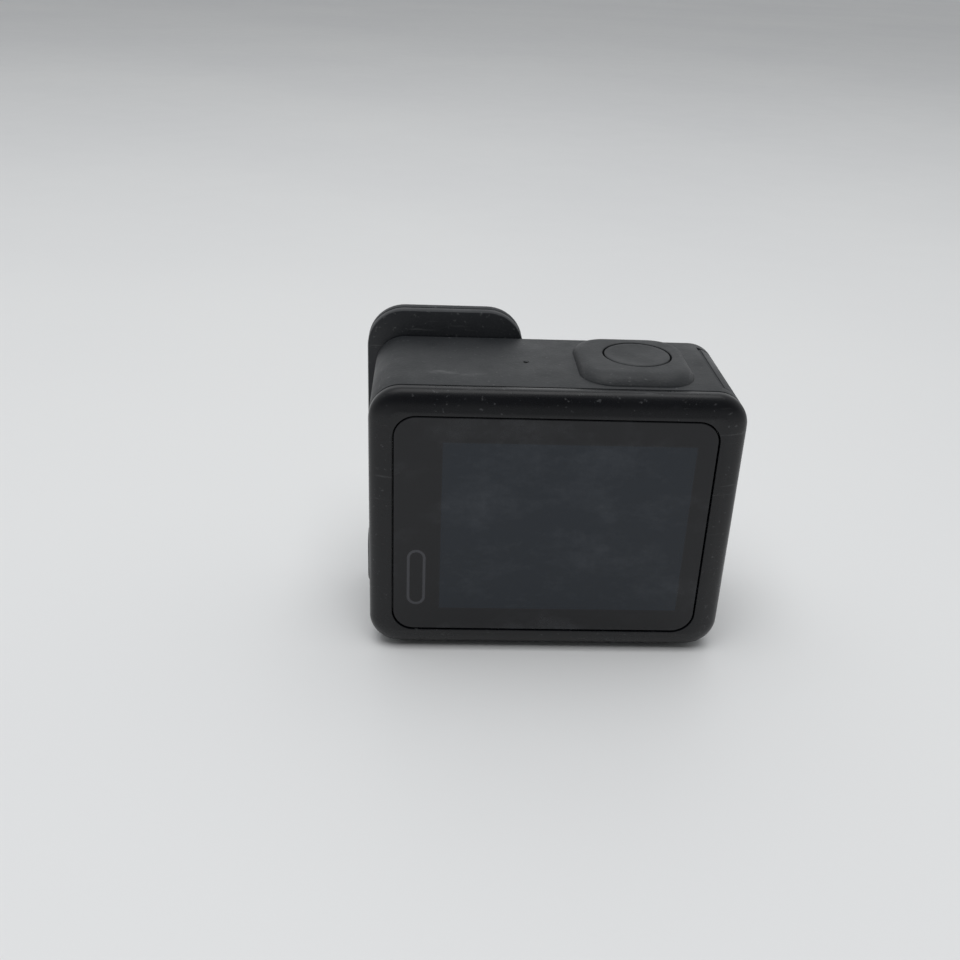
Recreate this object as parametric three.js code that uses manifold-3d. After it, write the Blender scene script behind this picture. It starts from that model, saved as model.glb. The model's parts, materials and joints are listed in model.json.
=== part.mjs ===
// Compact action camera with rear touch display, front display, twist-off lens cover, side door over
// the battery bay and two folding mounting fingers. Millimetres, +Z up, lens towards -Y, display +Y.
import * as THREE from "three";
import { mergeVertices } from "three/addons/utils/BufferGeometryUtils.js";
import Module from "manifold-3d";

const wasm = await Module();
wasm.setup();

// ---------------------------------------------------------------- driving dimensions
const GAP = 0.3; // clearance between separate pieces
const BODY_HALF_WIDTH = 34.4;
const BODY_BOTTOM = 0.8; // the finger base carries the body this far above the table
const BODY_TOP = 54.7;
const BODY_FRONT = -15.45;
const BODY_REAR = 15.45;
const BODY_CORNER = 6;
const BODY_EDGE = 1; // rounding of the front edge
const RIM_EDGE = 1.9; // rounding of the rear frame's outer edge
const HOUSING_END = 11.15; // parting line between the housing and the rear frame

const CAVITY = { x0: -30, x1: 32.4, z0: 5.2, z1: 52.3, corner: 4.5, front: -12.85 };
const FRONT_RECESS_FLOOR = -14.35;
const FRONT_RECESS_INSET = 2;

const LENS = { x: 20.4, z: 43.9 };
const GUARD_HALF = 15.7;
const GUARD_CORNER = 7.5;
const BARREL_RADIUS = 8.6;
const BARREL_BORE = 6.6;
const SPIGOT_RADIUS = 10.7;
const MOUNT_LIP_RADIUS = 11;
const MOUNT_GROOVE_RADIUS = 12.1;
const LUG_TURN = 45; // degrees from locked to free

const SHUTTER = { x: -15.9, y: -2.3, radius: 6.3 };
const PAD_HEIGHT = 1.8;
const PAD_TOP = { x0: -23.7, x1: -6.3, y0: -9.9, y1: 6.2, corner: 4.2 };
const PAD_FOOT = { x0: -26.2, x1: -4.2, y0: -13.4, y1: 10.2, corner: 6.2 };

const MODE = { y: -1.5, z: 12.3, length: 12.6, width: 7 };

const DOOR = { y0: -12.3, y1: 8.7, z0: 7.3, thickness: 2.1 };
const DOOR_POCKET_INSET = 3.2;
const KNUCKLE_RADIUS = 1.45;
const HINGE_RELIEF = 0.52; // room round the knuckle, so that the door's outer edge clears the shell when open
const HINGE_LEAN = 27.8; // degrees from the vertical, seen from the centre of the body corner

const BATTERY = { x0: -29.2, x1: 10.8, y0: -3.2, y1: 8.2, z0: 9, z1: 42.5 };
const BOARD = { x0: -28.2, x1: 10.9, y0: -6.6, y1: -5.6, z0: 6.6, z1: 46 };
const BOARD_SCREWS = [
  [-27, 8.2],
  [8.4, 8.2],
  [8.4, 43.6],
];
const SCREW_BOSS_RADIUS = 1.8;
const SCREW_BORE_RADIUS = 0.9;

const FINGER = { axisX: 3.05, axisZ: 1.75, holeX: 11.4, radius: 7.5, thickness: 3, hole: 2.6 };
const FINGER_PIN_RADIUS = 0.6;
const BASE_HALF_LENGTH = 20.6;
const BASE_HALF_DEPTH = 10.5;
const BASE_HEIGHT = 3.3;

const GLASS = { x0: -28.95, x1: 29.7, z0: 5.25, z1: 50.05, corner: 4 };
const RIB_PITCH = 2.4;

// ---------------------------------------------------------------- solids
function toSolid(geometry) {
  const bare = geometry.clone();
  bare.deleteAttribute("normal");
  bare.deleteAttribute("uv");
  const merged = mergeVertices(bare, 1e-4);
  const mesh = new wasm.Mesh({
    numProp: 3,
    vertProperties: new Float32Array(merged.attributes.position.array),
    triVerts: new Uint32Array(merged.index.array),
  });
  return new wasm.Manifold(mesh);
}

function fuse(first, ...others) {
  return others.reduce((solid, next) => solid.add(next), first);
}

function cut(first, ...others) {
  return others.reduce((solid, next) => solid.subtract(next), first);
}

function box(x0, x1, y0, y1, z0, z1) {
  const geometry = new THREE.BoxGeometry(x1 - x0, y1 - y0, z1 - z0);
  geometry.translate((x0 + x1) / 2, (y0 + y1) / 2, (z0 + z1) / 2);
  return toSolid(geometry);
}

function cylinderY(radius, y0, y1, x, z, sides = 32) {
  const geometry = new THREE.CylinderGeometry(radius, radius, y1 - y0, sides);
  geometry.translate(x, (y0 + y1) / 2, z);
  return toSolid(geometry);
}

function cylinderZ(radius, z0, z1, x, y, sides = 32) {
  const geometry = new THREE.CylinderGeometry(radius, radius, z1 - z0, sides);
  geometry.rotateX(Math.PI / 2);
  geometry.translate(x, y, (z0 + z1) / 2);
  return toSolid(geometry);
}

function ringY(outer, inner, y0, y1, x, z, sides = 32) {
  return cut(cylinderY(outer, y0, y1, x, z, sides), cylinderY(inner, y0 - 1, y1 + 1, x, z, sides));
}

function ringZ(outer, inner, z0, z1, x, y, sides = 32) {
  return cut(cylinderZ(outer, z0, z1, x, y, sides), cylinderZ(inner, z0 - 1, z1 + 1, x, y, sides));
}

function roundedOutline(a0, a1, b0, b1, radius) {
  const shape = new THREE.Shape();
  shape.moveTo(a0 + radius, b0);
  shape.lineTo(a1 - radius, b0);
  shape.absarc(a1 - radius, b0 + radius, radius, -Math.PI / 2, 0, false);
  shape.lineTo(a1, b1 - radius);
  shape.absarc(a1 - radius, b1 - radius, radius, 0, Math.PI / 2, false);
  shape.lineTo(a0 + radius, b1);
  shape.absarc(a0 + radius, b1 - radius, radius, Math.PI / 2, Math.PI, false);
  shape.lineTo(a0, b0 + radius);
  shape.absarc(a0 + radius, b0 + radius, radius, Math.PI, Math.PI * 1.5, false);
  return shape;
}

// A profile drawn in two axes, pushed out along the third, its end edges rounded by `edge`.
function pushedOut(shape, length, edge, steps) {
  const geometry = new THREE.ExtrudeGeometry(shape, {
    depth: length - 2 * edge,
    bevelEnabled: edge > 0,
    bevelThickness: edge,
    bevelSize: edge,
    bevelOffset: -edge,
    bevelSegments: 3,
    curveSegments: steps,
  });
  geometry.translate(0, 0, edge);
  return geometry;
}

// Rounded rectangle in X and Z, running from y0 to y1.
function slabY(x0, x1, z0, z1, corner, y0, y1, edge = 0, steps = 6) {
  const geometry = pushedOut(roundedOutline(x0, x1, z0, z1, corner), y1 - y0, edge, steps);
  geometry.rotateX(Math.PI / 2);
  geometry.translate(0, y1, 0);
  return toSolid(geometry);
}

// Rounded rectangle in Y and Z, running from x0 to x1.
function slabX(y0, y1, z0, z1, corner, x0, x1, edge = 0, steps = 5) {
  const geometry = pushedOut(roundedOutline(y0, y1, z0, z1, corner), x1 - x0, edge, steps);
  const sideways = new THREE.Matrix4().makeBasis(
    new THREE.Vector3(0, 1, 0),
    new THREE.Vector3(0, 0, 1),
    new THREE.Vector3(1, 0, 0),
  );
  geometry.applyMatrix4(sideways);
  geometry.translate(x0, 0, 0);
  return toSolid(geometry);
}

// The body outline drawn in by `inset` on every side.
function bodySlab(inset, y0, y1, edge = 0) {
  return slabY(
    -BODY_HALF_WIDTH + inset,
    BODY_HALF_WIDTH - inset,
    BODY_BOTTOM + inset,
    BODY_TOP - inset,
    BODY_CORNER - inset,
    y0,
    y1,
    edge,
    8,
  );
}

// A block reaching outwards from the lens axis, turned about that axis.
function lensSpoke(inner, outer, width, y0, y1, degrees) {
  const geometry = new THREE.BoxGeometry(outer - inner, y1 - y0, width);
  geometry.translate((inner + outer) / 2, (y0 + y1) / 2, 0);
  geometry.rotateY(-THREE.MathUtils.degToRad(degrees));
  geometry.translate(LENS.x, 0, LENS.z);
  return toSolid(geometry);
}

// A turned glass element on the lens axis, its front bulging by `bulge` towards -Y.
function lensElement(radius, frontY, rearY, bulge) {
  const profile = [new THREE.Vector2(0, rearY)];
  profile.push(new THREE.Vector2(radius, rearY));
  const steps = bulge > 0 ? 6 : 1;
  for (let i = 0; i <= steps; i++) {
    const share = 1 - i / steps;
    const y = frontY + bulge * share * share;
    profile.push(new THREE.Vector2(radius * share, y));
  }
  const geometry = new THREE.LatheGeometry(profile.reverse(), 32);
  geometry.translate(LENS.x, 0, LENS.z);
  return toSolid(geometry);
}

// ---------------------------------------------------------------- looks
const LOOKS = {
  shell: { color: 0x3a3b3d, roughness: 0.62, metalness: 0 },
  darkShell: { color: 0x1f2022, roughness: 0.5, metalness: 0 },
  gloss: { color: 0x101113, roughness: 0.18, metalness: 0 },
  glass: { color: 0x0b0c0e, roughness: 0.06, metalness: 0 },
  panel: { color: 0x14171c, roughness: 0.2, metalness: 0 },
  optic: { color: 0x1b2440, roughness: 0.04, metalness: 0 },
  rubber: { color: 0x18181a, roughness: 0.85, metalness: 0 },
  steel: { color: 0xb9bcc0, roughness: 0.3, metalness: 1 },
  aluminium: { color: 0x8d9094, roughness: 0.4, metalness: 1 },
  board: { color: 0x12402a, roughness: 0.55, metalness: 0 },
  chip: { color: 0x222326, roughness: 0.5, metalness: 0 },
  cell: { color: 0x33363b, roughness: 0.5, metalness: 0 },
  pad: { color: 0x8a93a0, roughness: 0.9, metalness: 0 },
};

const camera = new THREE.Group();
camera.name = "action_camera";

function piece(name, look, solid) {
  const mesh = solid.getMesh();
  const geometry = new THREE.BufferGeometry();
  geometry.setAttribute("position", new THREE.BufferAttribute(mesh.vertProperties, 3));
  geometry.setIndex(new THREE.BufferAttribute(mesh.triVerts, 1));
  geometry.computeVertexNormals();
  const node = new THREE.Mesh(geometry, new THREE.MeshStandardMaterial(LOOKS[look]));
  node.name = name;
  camera.add(node);
}

// ---------------------------------------------------------------- places shared by several pieces
const cornerX = -BODY_HALF_WIDTH + BODY_CORNER;
const cornerZ = BODY_TOP - BODY_CORNER;
const hingeReach = BODY_CORNER - KNUCKLE_RADIUS;
const lean = THREE.MathUtils.degToRad(HINGE_LEAN);
const HINGE = { x: cornerX - hingeReach * Math.sin(lean), z: cornerZ + hingeReach * Math.cos(lean) };
const PIN_RADIUS = 0.45;
const PIN_BORE_RADIUS = PIN_RADIUS + GAP;
const padTop = BODY_TOP + PAD_HEIGHT;

// The raised pad round the shutter button: a low mound on the top face, steepest at its foot.
function shutterPad() {
  const between = (share, key) => PAD_FOOT[key] + (PAD_TOP[key] - PAD_FOOT[key]) * share;
  const layer = (share, z0, z1) => {
    const [x0, x1, y0, y1, corner] = ["x0", "x1", "y0", "y1", "corner"].map((key) => between(share, key));
    const geometry = new THREE.ExtrudeGeometry(roundedOutline(x0, x1, y0, y1, corner), {
      depth: z1 - z0,
      bevelEnabled: false,
      curveSegments: 6,
    });
    geometry.translate(0, 0, z0);
    return toSolid(geometry);
  };
  return wasm.Manifold.hull([
    layer(0, BODY_TOP - 0.6, BODY_TOP),
    layer(0.45, BODY_TOP - 0.6, BODY_TOP + PAD_HEIGHT * 0.7),
    layer(1, BODY_TOP - 0.6, BODY_TOP + PAD_HEIGHT),
  ]);
}

// Everything of the shell's thickness on the -X side, from the hinge line down, grown by `play`.
function doorBlank(inset, play, knucklePlay) {
  const core = bodySlab(inset, -20, 20);
  const region = box(-40, HINGE.x, DOOR.y0 - play, DOOR.y1 + play, DOOR.z0 - play, 60);
  const knuckle = cylinderY(
    KNUCKLE_RADIUS + knucklePlay,
    DOOR.y0 - play,
    DOOR.y1 + play,
    HINGE.x,
    HINGE.z,
    32,
  );
  return fuse(cut(region, core), knuckle);
}

// ---------------------------------------------------------------- housing
function housing() {
  const shell = fuse(
    bodySlab(0, BODY_FRONT, BODY_REAR, BODY_EDGE).intersect(box(-50, 50, -20, HOUSING_END, -5, 70)),
    shutterPad(),
  );
  const cavity = slabY(
    CAVITY.x0,
    CAVITY.x1,
    CAVITY.z0,
    CAVITY.z1,
    CAVITY.corner,
    CAVITY.front,
    BODY_REAR + 1,
  );
  const hollow = cut(
    shell,
    bodySlab(FRONT_RECESS_INSET, BODY_FRONT - 1, FRONT_RECESS_FLOOR),
    cavity,
    cylinderY(BARREL_RADIUS + 0.4, -16, 0.3, LENS.x, LENS.z, 40),
    box(-27.6, -0.4, -15, -12, 25.9, 50.1),
    cylinderZ(SHUTTER.radius + GAP, 50, 60, SHUTTER.x, SHUTTER.y, 48),
    cylinderZ(0.45, 50, 60, 5.3, -1.5, 16),
    cylinderY(0.9, -16, -12, -28.5, 22.8, 16),
    box(13.4, 24.6, -15, -12, 8.4, 19.6),
    slabX(
      MODE.y - MODE.width / 2 - GAP,
      MODE.y + MODE.width / 2 + GAP,
      MODE.z - MODE.length / 2 - GAP,
      MODE.z + MODE.length / 2 + GAP,
      MODE.width / 2 - 0.1,
      30,
      37,
    ),
    doorBlank(DOOR_POCKET_INSET, GAP, HINGE_RELIEF),
    box(-32, -29, BATTERY.y0 - GAP, BATTERY.y1 + GAP, BATTERY.z0 - GAP, BATTERY.z1 + GAP),
    slabX(-10.5, -6.8, 23.8, 33.2, 1.6, -32, -29),
    box(-32, -29, -8.95, -7.05, 36.2, 48),
    cylinderY(PIN_BORE_RADIUS, -14.1, 10.7, HINGE.x, HINGE.z, 16),
    box(
      -BASE_HALF_LENGTH - GAP,
      BASE_HALF_LENGTH + GAP,
      -BASE_HALF_DEPTH - GAP,
      BASE_HALF_DEPTH + GAP,
      -1,
      BASE_HEIGHT + GAP,
    ),
  );
  const bosses = BOARD_SCREWS.map(([x, z]) =>
    ringY(SCREW_BOSS_RADIUS, SCREW_BORE_RADIUS, -13.2, BOARD.y0 - GAP, x, z, 20),
  );
  const blindEnds = BOARD_SCREWS.map(([x, z]) =>
    cylinderY(SCREW_BORE_RADIUS + 0.3, -13.6, -12.2, x, z, 20),
  );
  return fuse(hollow, ...bosses, ...blindEnds);
}
piece("housing", "shell", housing());

// ---------------------------------------------------------------- front
function frontPanel() {
  const inset = FRONT_RECESS_INSET + GAP;
  const grooves = [];
  for (let i = -12; i <= 12; i++) {
    const x = i * RIB_PITCH;
    const overSpeaker = x > 13.5 && x < 24.5;
    const floor = overSpeaker ? -14 : BODY_FRONT + 0.4;
    const top = overSpeaker ? 19.4 : 20.6;
    const bottom = overSpeaker ? 8.6 : 6.8;
    grooves.push(box(x - 0.45, x + 0.45, -16, floor, bottom, top));
  }
  return cut(
    bodySlab(inset, BODY_FRONT, FRONT_RECESS_FLOOR - GAP),
    cylinderY(BARREL_RADIUS + 0.4, -17, -14, LENS.x, LENS.z),
    slabY(-30.9, 2.7, 24.2, 51.5, 3.3, -17, -14),
    cylinderY(0.9, -17, -14, -28.5, 22.8, 16),
    ...grooves,
  );
}
piece("front_panel", "darkShell", frontPanel());
piece("front_glass", "glass", slabY(-30.6, 2.4, 24.5, 51.2, 3, -15.35, -14.65));
piece("front_display", "panel", box(-27.3, -0.7, -14.35, -12.6, 26.2, 49.8));
piece("status_light", "pad", cylinderY(0.6, -15.35, -13.2, -28.5, 22.8, 16));

// ---------------------------------------------------------------- rear
function rearFrame() {
  const start = HOUSING_END + GAP;
  const rim = bodySlab(0, BODY_FRONT, BODY_REAR, RIM_EDGE).intersect(box(-50, 50, start, 20, -5, 70));
  const { x0, x1, z0, z1, corner } = GLASS;
  const glassSeat = slabY(x0 - GAP, x1 + GAP, z0 - GAP, z1 + GAP, corner + GAP, 13.85, 17);
  const opening = slabY(x0 + 1, x1 - 1, z0 + 1, z1 - 1, corner - 1, 10, 17);
  const sealChannel = cut(bodySlab(0.7, 10, start + 0.9), bodySlab(2.1, 9, start + 2));
  return cut(rim, glassSeat, opening, sealChannel);
}
piece("rear_frame", "gloss", rearFrame());
const sealStart = HOUSING_END + GAP;
piece("rear_seal", "rubber", cut(bodySlab(1, sealStart, sealStart + 0.6), bodySlab(1.8, 10, 14)));
piece("rear_glass", "glass", slabY(GLASS.x0, GLASS.x1, GLASS.z0, GLASS.z1, GLASS.corner, 14.15, 15.25));
piece("rear_display", "panel", box(-26.7, 22.3, 12.2, 13.85, 8.6, 46.6));
piece("display_bracket", "aluminium", slabY(-27.5, 28.3, 6.7, 48.7, 2, 11.45, 11.9));

// ---------------------------------------------------------------- lens
const guardBounds = [
  LENS.x - GUARD_HALF,
  LENS.x + GUARD_HALF,
  LENS.z - GUARD_HALF,
  LENS.z + GUARD_HALF,
  GUARD_CORNER,
];
const LUG_ANGLES = [0, 120, 240];
const MOUNT = { front: -18, lip: -17.4, groove: -16.5, rear: -15.75 };
const COVER = { front: -21, seat: -19.55, rear: -18.3, spigot: -16.7 };

function lensMount() {
  const entries = LUG_ANGLES.map((angle) =>
    lensSpoke(9, MOUNT_GROOVE_RADIUS - 0.2, 5.8, MOUNT.front - 1, MOUNT.lip + 0.5, angle + LUG_TURN),
  );
  return cut(
    slabY(...guardBounds, MOUNT.front, MOUNT.rear),
    cylinderY(MOUNT_LIP_RADIUS, MOUNT.front - 1, MOUNT.groove, LENS.x, LENS.z, 48),
    cylinderY(MOUNT_GROOVE_RADIUS, MOUNT.lip, MOUNT.groove, LENS.x, LENS.z, 48),
    cylinderY(BARREL_RADIUS + 0.4, MOUNT.front - 1, MOUNT.rear + 1, LENS.x, LENS.z, 40),
    ...entries,
  );
}

function lensCover() {
  const lugs = LUG_ANGLES.map((angle) =>
    lensSpoke(10.2, 11.45, 5, COVER.spigot - 0.4, COVER.spigot, angle),
  );
  return cut(
    fuse(
      slabY(...guardBounds, COVER.front, COVER.rear, 0.8),
      cylinderY(SPIGOT_RADIUS, COVER.rear - 0.5, COVER.spigot, LENS.x, LENS.z, 48),
      ...lugs,
    ),
    cylinderY(11.9, COVER.front - 1, COVER.seat, LENS.x, LENS.z, 48),
    cylinderY(10, COVER.front - 1, COVER.spigot + 1, LENS.x, LENS.z, 48),
  );
}

function lensBarrel() {
  return cut(
    cylinderY(BARREL_RADIUS, -18.4, -1.6, LENS.x, LENS.z, 40),
    cylinderY(7.7, -19, -14.5, LENS.x, LENS.z, 40),
    cylinderY(BARREL_BORE, -19, 0, LENS.x, LENS.z, 40),
  );
}
piece("lens_mount", "darkShell", lensMount());
piece("lens_cover", "darkShell", lensCover());
piece("lens_cover_glass", "glass", cylinderY(11.6, -20.85, -19.85, LENS.x, LENS.z, 48));
piece("lens_cover_seal", "rubber", ringY(9.7, 8.9, -19.2, -18.2, LENS.x, LENS.z));
piece("lens_barrel", "darkShell", lensBarrel());
piece("front_element", "optic", lensElement(7.4, -18.8, -14.8, 2.6));
piece("inner_element", "optic", lensElement(6.3, -12.6, -10, 0.8));
piece("aperture_stop", "chip", ringY(6.3, 2.2, -9.4, -8.6, LENS.x, LENS.z));
piece("rear_element", "optic", lensElement(6.3, -7.4, -5, 0.6));
piece("ir_filter", "optic", lensElement(5, -3.6, -3, 0));
const atLens = (halfX, halfZ, y0, y1) =>
  box(LENS.x - halfX, LENS.x + halfX, y0, y1, LENS.z - halfZ, LENS.z + halfZ);
piece("image_sensor", "panel", atLens(4.5, 3.4, -2.4, -1.4));
piece("sensor_board", "board", atLens(8.9, 8, -1.1, -0.1));

// ---------------------------------------------------------------- shutter button
const shutterCap = cylinderZ(SHUTTER.radius, 54.4, padTop - 0.05, SHUTTER.x, SHUTTER.y, 48);
const shutterStem = cylinderZ(2.2, 51, 54.5, SHUTTER.x, SHUTTER.y, 24);
piece("shutter_button", "shell", fuse(shutterCap, shutterStem));
piece("shutter_seal", "rubber", ringZ(8.2, 2.6, 51.35, 51.95, SHUTTER.x, SHUTTER.y));
piece("shutter_spring", "steel", ringZ(5.4, 2.8, 52.3, 53.3, SHUTTER.x, SHUTTER.y));
const atShutter = (half, z0, z1) =>
  box(SHUTTER.x - half, SHUTTER.x + half, SHUTTER.y - half, SHUTTER.y + half, z0, z1);
piece("shutter_switch", "chip", atShutter(2.5, 48.6, 50));
piece("shutter_board", "board", atShutter(4, 47.7, 48.3));

// ---------------------------------------------------------------- mode button
function stadiumX(length, width, x0, x1, edge) {
  const halfWidth = width / 2;
  const halfLength = length / 2;
  return slabX(
    MODE.y - halfWidth,
    MODE.y + halfWidth,
    MODE.z - halfLength,
    MODE.z + halfLength,
    halfWidth - 0.4,
    x0,
    x1,
    edge,
  );
}
const modeCap = stadiumX(MODE.length, MODE.width, 31.3, 35.4, 0.6);
const modeFlange = slabX(MODE.y - 4.6, MODE.y + 4.6, MODE.z - 3, MODE.z + 3.2, 1, 31.2, 32.1);
piece("mode_button", "darkShell", fuse(modeCap, modeFlange));
piece("mode_switch", "chip", box(28.9, 30.4, -3.5, 0.5, 10, 14.6));
piece("mode_board", "board", box(28, 28.6, -5.2, 2.2, 7, 17.6));

// ---------------------------------------------------------------- side door
const LATCH = { y0: -5, y1: 1.4, z0: 11.7, z1: 17, travel: 2 };
const latchMiddle = (LATCH.y0 + LATCH.y1) / 2;

function sideDoor() {
  const outer = bodySlab(0, -20, 20);
  return cut(
    doorBlank(DOOR.thickness, 0, 0).intersect(outer),
    cylinderY(PIN_BORE_RADIUS, -20, 20, HINGE.x, HINGE.z, 16),
    box(-36, -33.4, LATCH.y0 - GAP, LATCH.y1 + GAP, LATCH.z0 - LATCH.travel - GAP, LATCH.z1 + GAP),
    box(-36, -30, latchMiddle - 1.1, latchMiddle + 1.1, 10.9, 15.8),
  );
}

function doorLatch() {
  const thumbPiece = slabX(LATCH.y0, LATCH.y1, LATCH.z0, LATCH.z1, 0.8, -34.35, -33.7, 0, 3);
  const grips = [-1, 0, 1].map((i) => {
    const z = (LATCH.z0 + LATCH.z1) / 2 + i * 1.2;
    return box(-35, -34.1, LATCH.y0 + 1, LATCH.y1 - 1, z - 0.25, z + 0.25);
  });
  const stem = box(-33.9, -31.7, latchMiddle - 0.8, latchMiddle + 0.8, 13.4, 15.4);
  const foot = box(-32, -31.5, latchMiddle - 1.6, latchMiddle + 1.6, 12.7, 15.4);
  return fuse(cut(thumbPiece, ...grips), stem, foot);
}
piece("side_door", "darkShell", sideDoor());
const gasketOutside = slabX(-10.6, 7, 8.9, 44, 2, -32, -31.5);
const gasketInside = slabX(-9.4, 5.8, 10.1, 42.8, 1, -33, -30);
piece("door_gasket", "rubber", cut(gasketOutside, gasketInside));
piece("door_latch", "shell", doorLatch());
piece("latch_spring", "steel", cylinderZ(0.3, 11, 16, -31.8, latchMiddle + 2.6, 12));
piece("hinge_pin", "steel", cylinderY(PIN_RADIUS, -13.8, 10.4, HINGE.x, HINGE.z, 16));

// ---------------------------------------------------------------- battery bay, ports and boards
piece("battery", "cell", slabX(BATTERY.y0, BATTERY.y1, BATTERY.z0, BATTERY.z1, 1.5, BATTERY.x0, BATTERY.x1));
piece("battery_tab", "pad", box(-30.7, -29.5, 0.9, 4.1, 19, 31));
piece("battery_contacts", "chip", box(11.2, 12.8, 0.4, 5.4, 19, 31));

const usbOuter = slabX(-10.2, -7.1, 24.1, 32.9, 1.4, -30.9, -23.6);
const usbInner = slabX(-9.9, -7.4, 24.4, 32.6, 1.1, -32, -24.4);
const usbTongue = box(-29.9, -24, -9, -8.3, 25.4, 31.6);
piece("usb_port", "steel", fuse(cut(usbOuter, usbInner), usbTongue));

const slotOuter = box(-29.7, -14.6, -9, -7, 36, 48.2);
const slotInner = box(-31, -15.2, -8.75, -7.25, 36.5, 47.7);
piece("card_slot", "steel", cut(slotOuter, slotInner));
piece("memory_card", "chip", box(-30.7, -15.6, -8.4, -7.6, 36.8, 47.4));

const boardBlank = box(BOARD.x0, BOARD.x1, BOARD.y0, BOARD.y1, BOARD.z0, BOARD.z1);
const boardHoles = BOARD_SCREWS.map(([x, z]) => cylinderY(SCREW_BORE_RADIUS, -8, -4, x, z, 16));
piece("main_board", "board", cut(boardBlank, ...boardHoles));
BOARD_SCREWS.forEach(([x, z], i) => {
  const head = cylinderY(1.3, BOARD.y1 + GAP, BOARD.y1 + 1.1, x, z, 20);
  const shank = cylinderY(0.6, -9.6, BOARD.y1 + 0.5, x, z, 16);
  const drive = cylinderY(0.5, BOARD.y1 + 0.7, BOARD.y1 + 2, x, z, 6);
  piece(`board_screw_${i + 1}`, "steel", cut(fuse(head, shank), drive));
});
piece("processor", "chip", box(-10, 2, -8.1, -6.9, 14, 26));
piece("memory_chip", "chip", box(-22, -14, -7.9, -6.9, 12, 20));
piece("power_chip", "chip", box(-8, -2, -5.3, -4.2, 20, 26));
piece("thermal_pad", "pad", box(-9.5, 1.5, -8.9, -8.4, 14.5, 25.5));
const spreaderFins = [0, 1, 2, 3, 4].map((i) => box(-12 + i * 4, -10.4 + i * 4, -13, -10.2, 12, 23.6));
piece("heat_spreader", "aluminium", cut(box(-14, 9, -12, -9.2, 10.4, 25.2), ...spreaderFins));

// ---------------------------------------------------------------- sound
piece("speaker", "chip", box(12.4, 25.6, -11.9, -8, 7.4, 20.6));
piece("speaker_mesh", "rubber", box(12.6, 25.4, -12.5, -12.2, 7.6, 20.4));
piece("top_microphone", "steel", box(3.6, 7, -2.8, -0.2, 50.3, 51.4));
piece("mic_membrane", "rubber", cylinderZ(1.4, 51.7, 52, 5.3, -1.5, 16));

// ---------------------------------------------------------------- folding mounting fingers
function fingerOpening(side) {
  const reach = FINGER.radius + GAP;
  const inner = FINGER.axisX - FINGER.thickness / 2 - 0.35;
  const straight =
    side > 0
      ? box(inner, FINGER.holeX, -reach, reach, -1, 5)
      : box(-FINGER.holeX, -inner, -reach, reach, -1, 5);
  return fuse(straight, cylinderZ(reach, -1, 5, side * FINGER.holeX, 0, 40));
}

function fingerBase() {
  const blank = box(
    -BASE_HALF_LENGTH,
    BASE_HALF_LENGTH,
    -BASE_HALF_DEPTH,
    BASE_HALF_DEPTH,
    0,
    BASE_HEIGHT,
  );
  const bores = [-1, 1].map((side) =>
    cylinderY(FINGER_PIN_RADIUS + GAP, -10.2, 10.2, side * FINGER.axisX, FINGER.axisZ, 16),
  );
  return cut(blank, fingerOpening(-1), fingerOpening(1), ...bores);
}

function finger(side) {
  const low = FINGER.axisZ - FINGER.thickness / 2;
  const high = FINGER.axisZ + FINGER.thickness / 2;
  const near = side * FINGER.axisX;
  const far = side * FINGER.holeX;
  const blade = box(Math.min(near, far), Math.max(near, far), -FINGER.radius, FINGER.radius, low, high);
  const knuckle = cylinderY(FINGER.thickness / 2, -FINGER.radius, FINGER.radius, near, FINGER.axisZ, 24);
  return cut(
    fuse(blade, cylinderZ(FINGER.radius, low, high, far, 0, 40), knuckle),
    cylinderZ(FINGER.hole, -1, 5, far, 0),
    cylinderY(FINGER_PIN_RADIUS + GAP, -10, 10, near, FINGER.axisZ, 16),
  );
}
piece("finger_base", "darkShell", fingerBase());
for (const [label, side] of [
  ["left", -1],
  ["right", 1],
]) {
  piece(`finger_${label}`, "darkShell", finger(side));
  piece(
    `finger_pin_${label}`,
    "steel",
    cylinderY(FINGER_PIN_RADIUS, -9.9, 9.9, side * FINGER.axisX, FINGER.axisZ, 16),
  );
}

export default camera;
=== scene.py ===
import json
import math

import bmesh
import bpy
from mathutils import Matrix, Vector


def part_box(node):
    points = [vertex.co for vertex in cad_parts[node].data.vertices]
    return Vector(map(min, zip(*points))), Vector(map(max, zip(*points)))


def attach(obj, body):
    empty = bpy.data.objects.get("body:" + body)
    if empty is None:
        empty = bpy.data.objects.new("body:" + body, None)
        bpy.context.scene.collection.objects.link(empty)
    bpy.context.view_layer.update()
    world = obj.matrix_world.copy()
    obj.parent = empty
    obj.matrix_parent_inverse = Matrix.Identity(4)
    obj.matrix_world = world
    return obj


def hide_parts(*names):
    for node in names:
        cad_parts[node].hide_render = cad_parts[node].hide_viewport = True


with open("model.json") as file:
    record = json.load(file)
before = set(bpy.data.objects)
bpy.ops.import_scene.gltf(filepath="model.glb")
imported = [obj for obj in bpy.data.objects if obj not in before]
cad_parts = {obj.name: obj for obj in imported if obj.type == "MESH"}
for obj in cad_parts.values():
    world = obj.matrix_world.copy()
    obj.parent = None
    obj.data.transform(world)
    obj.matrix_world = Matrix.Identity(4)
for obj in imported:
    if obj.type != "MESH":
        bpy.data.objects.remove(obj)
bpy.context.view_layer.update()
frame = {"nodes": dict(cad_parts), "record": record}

MM = 0.001  # drawings below are in millimetres, meshes in metres

# ---------------------------------------------------------------- the camera, first
# its place in millimetres, and its axes as unit vectors
CAMERA_AT = (23.32, 189.44, 125.68)
CAMERA_RIGHT = (-0.998682, 0.034359, 0.038138)
CAMERA_DOWN = (-0.018565, 0.45091, -0.892376)
CAMERA_FORWARD = (-0.047858, -0.891908, -0.449678)
FOCAL_MM = 40.13


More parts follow.
